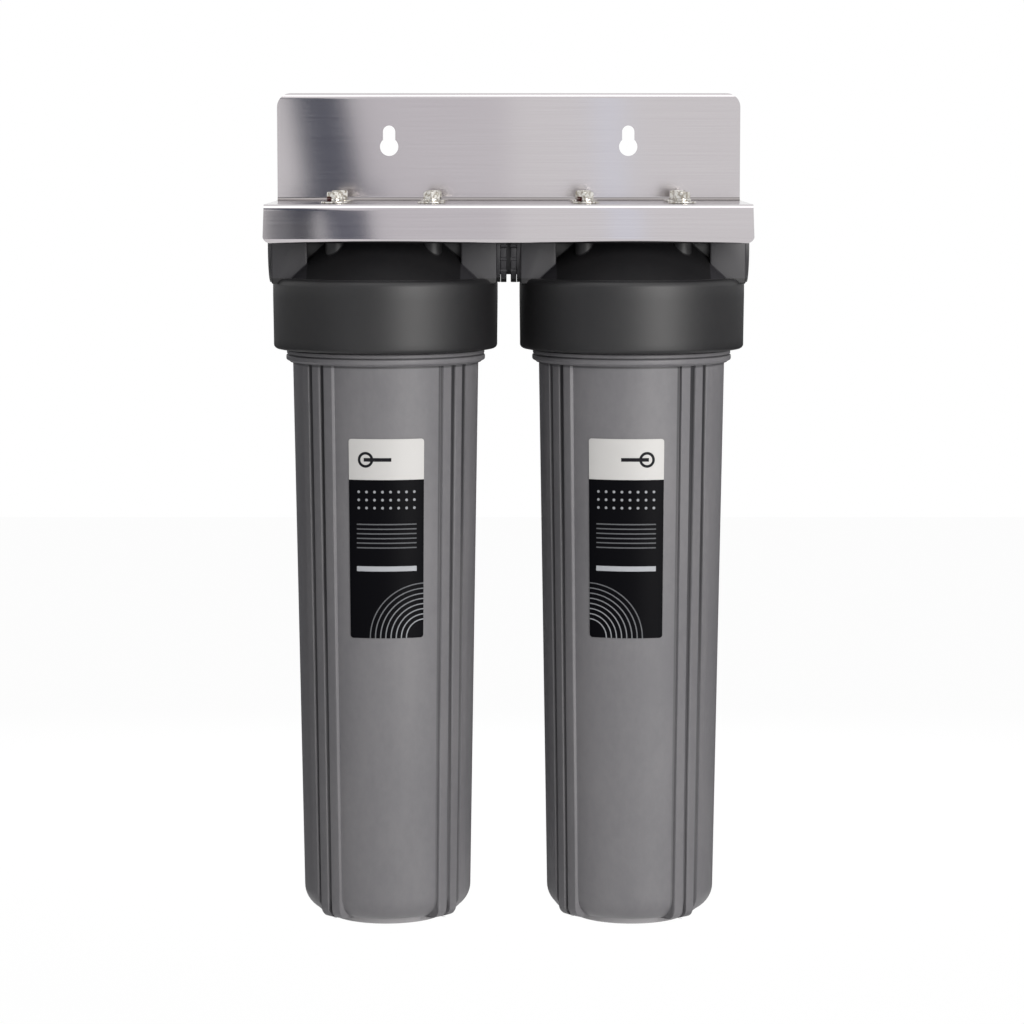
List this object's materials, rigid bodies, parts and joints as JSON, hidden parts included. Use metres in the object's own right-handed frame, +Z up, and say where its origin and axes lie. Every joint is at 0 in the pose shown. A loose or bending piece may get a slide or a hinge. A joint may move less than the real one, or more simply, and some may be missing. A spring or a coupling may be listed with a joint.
{
  "type": "whole house water filter",
  "caption": "Twin water filter: ribbed sumps screwed into black heads that are joined by a nipple and bolted under a folded steel wall bracket.",
  "frame": {"origin": "middle of the rear edge of the bracket's top return, where it bears on the wall", "axes": "+X to the viewer's right, from the inlet to the outlet; +Y into the wall; +Z up"},
  "size_m": [0.3926, 0.2023, 0.6808],
  "materials": {
    "stainless_sheet": "fine satin stainless sheet",
    "zinc_plated_steel": "bright zinc plate",
    "black_plastic": "moulded black polypropylene, half matte",
    "grey_plastic": "moulded mid grey polypropylene, half matte",
    "label_film": "printed label film, half gloss",
    "seal_rubber": "black seal rubber",
    "white_plastic": "white moulded plastic",
    "filter_paper": "off-white nonwoven filter sheet",
    "carbon": "matt pressed carbon block, as light as wood"
  },
  "bodies": {
    "root": {"wall_bracket": "stainless_sheet", "coupling_nipple": "black_plastic", "left_head": "black_plastic", "left_lock_ring": "black_plastic", "left_bolt_1": "zinc_plated_steel", "left_washer_1": "zinc_plated_steel", "left_spring_washer_1": "zinc_plated_steel", "left_bolt_2": "zinc_plated_steel", "left_washer_2": "zinc_plated_steel", "left_spring_washer_2": "zinc_plated_steel", "left_bolt_3": "zinc_plated_steel", "left_washer_3": "zinc_plated_steel", "left_spring_washer_3": "zinc_plated_steel", "left_bolt_4": "zinc_plated_steel", "left_washer_4": "zinc_plated_steel", "left_spring_washer_4": "zinc_plated_steel", "right_head": "black_plastic", "right_lock_ring": "black_plastic", "right_bolt_1": "zinc_plated_steel", "right_washer_1": "zinc_plated_steel", "right_spring_washer_1": "zinc_plated_steel", "right_bolt_2": "zinc_plated_steel", "right_washer_2": "zinc_plated_steel", "right_spring_washer_2": "zinc_plated_steel", "right_bolt_3": "zinc_plated_steel", "right_washer_3": "zinc_plated_steel", "right_spring_washer_3": "zinc_plated_steel", "right_bolt_4": "zinc_plated_steel", "right_washer_4": "zinc_plated_steel", "right_spring_washer_4": "zinc_plated_steel"},
    "left_cartridge": {"left_core_tube": "white_plastic", "left_pleated_media": "filter_paper", "left_top_cap": "white_plastic", "left_bottom_cap": "white_plastic", "left_top_gasket": "seal_rubber", "left_bottom_gasket": "seal_rubber"},
    "left_sump": {"left_sump": "grey_plastic", "left_o_ring": "seal_rubber", "left_label": "label_film"},
    "right_cartridge": {"right_carbon_block": "carbon", "right_outer_wrap": "filter_paper", "right_top_cap": "white_plastic", "right_bottom_cap": "white_plastic", "right_top_gasket": "seal_rubber", "right_bottom_gasket": "seal_rubber"},
    "right_sump": {"right_sump": "grey_plastic", "right_o_ring": "seal_rubber", "right_label": "label_film"}
  },
  "joints": [
    {"name": "left_sump_lower", "type": "slide", "parent": "root", "child": "left_cartridge", "axis": [0, 0, -1], "range_m": [0, 0.0255]},
    {"name": "left_sump_unscrew", "type": "hinge", "parent": "left_cartridge", "child": "left_sump", "pos_m": [-0.101, -0.11, -0.3], "axis": [0, 0, -1], "range_deg": [0, 1440]},
    {"name": "right_sump_lower", "type": "slide", "parent": "root", "child": "right_cartridge", "axis": [0, 0, -1], "range_m": [0, 0.0255]},
    {"name": "right_sump_unscrew", "type": "hinge", "parent": "right_cartridge", "child": "right_sump", "pos_m": [0.101, -0.11, -0.3], "axis": [0, 0, -1], "range_deg": [0, 1440]}
  ],
  "couplings": [
    {"joint": "left_sump_lower", "follows": "left_sump_unscrew", "m_per_rad": 0.0010106},
    {"joint": "right_sump_lower", "follows": "right_sump_unscrew", "m_per_rad": 0.0010106}
  ]
}
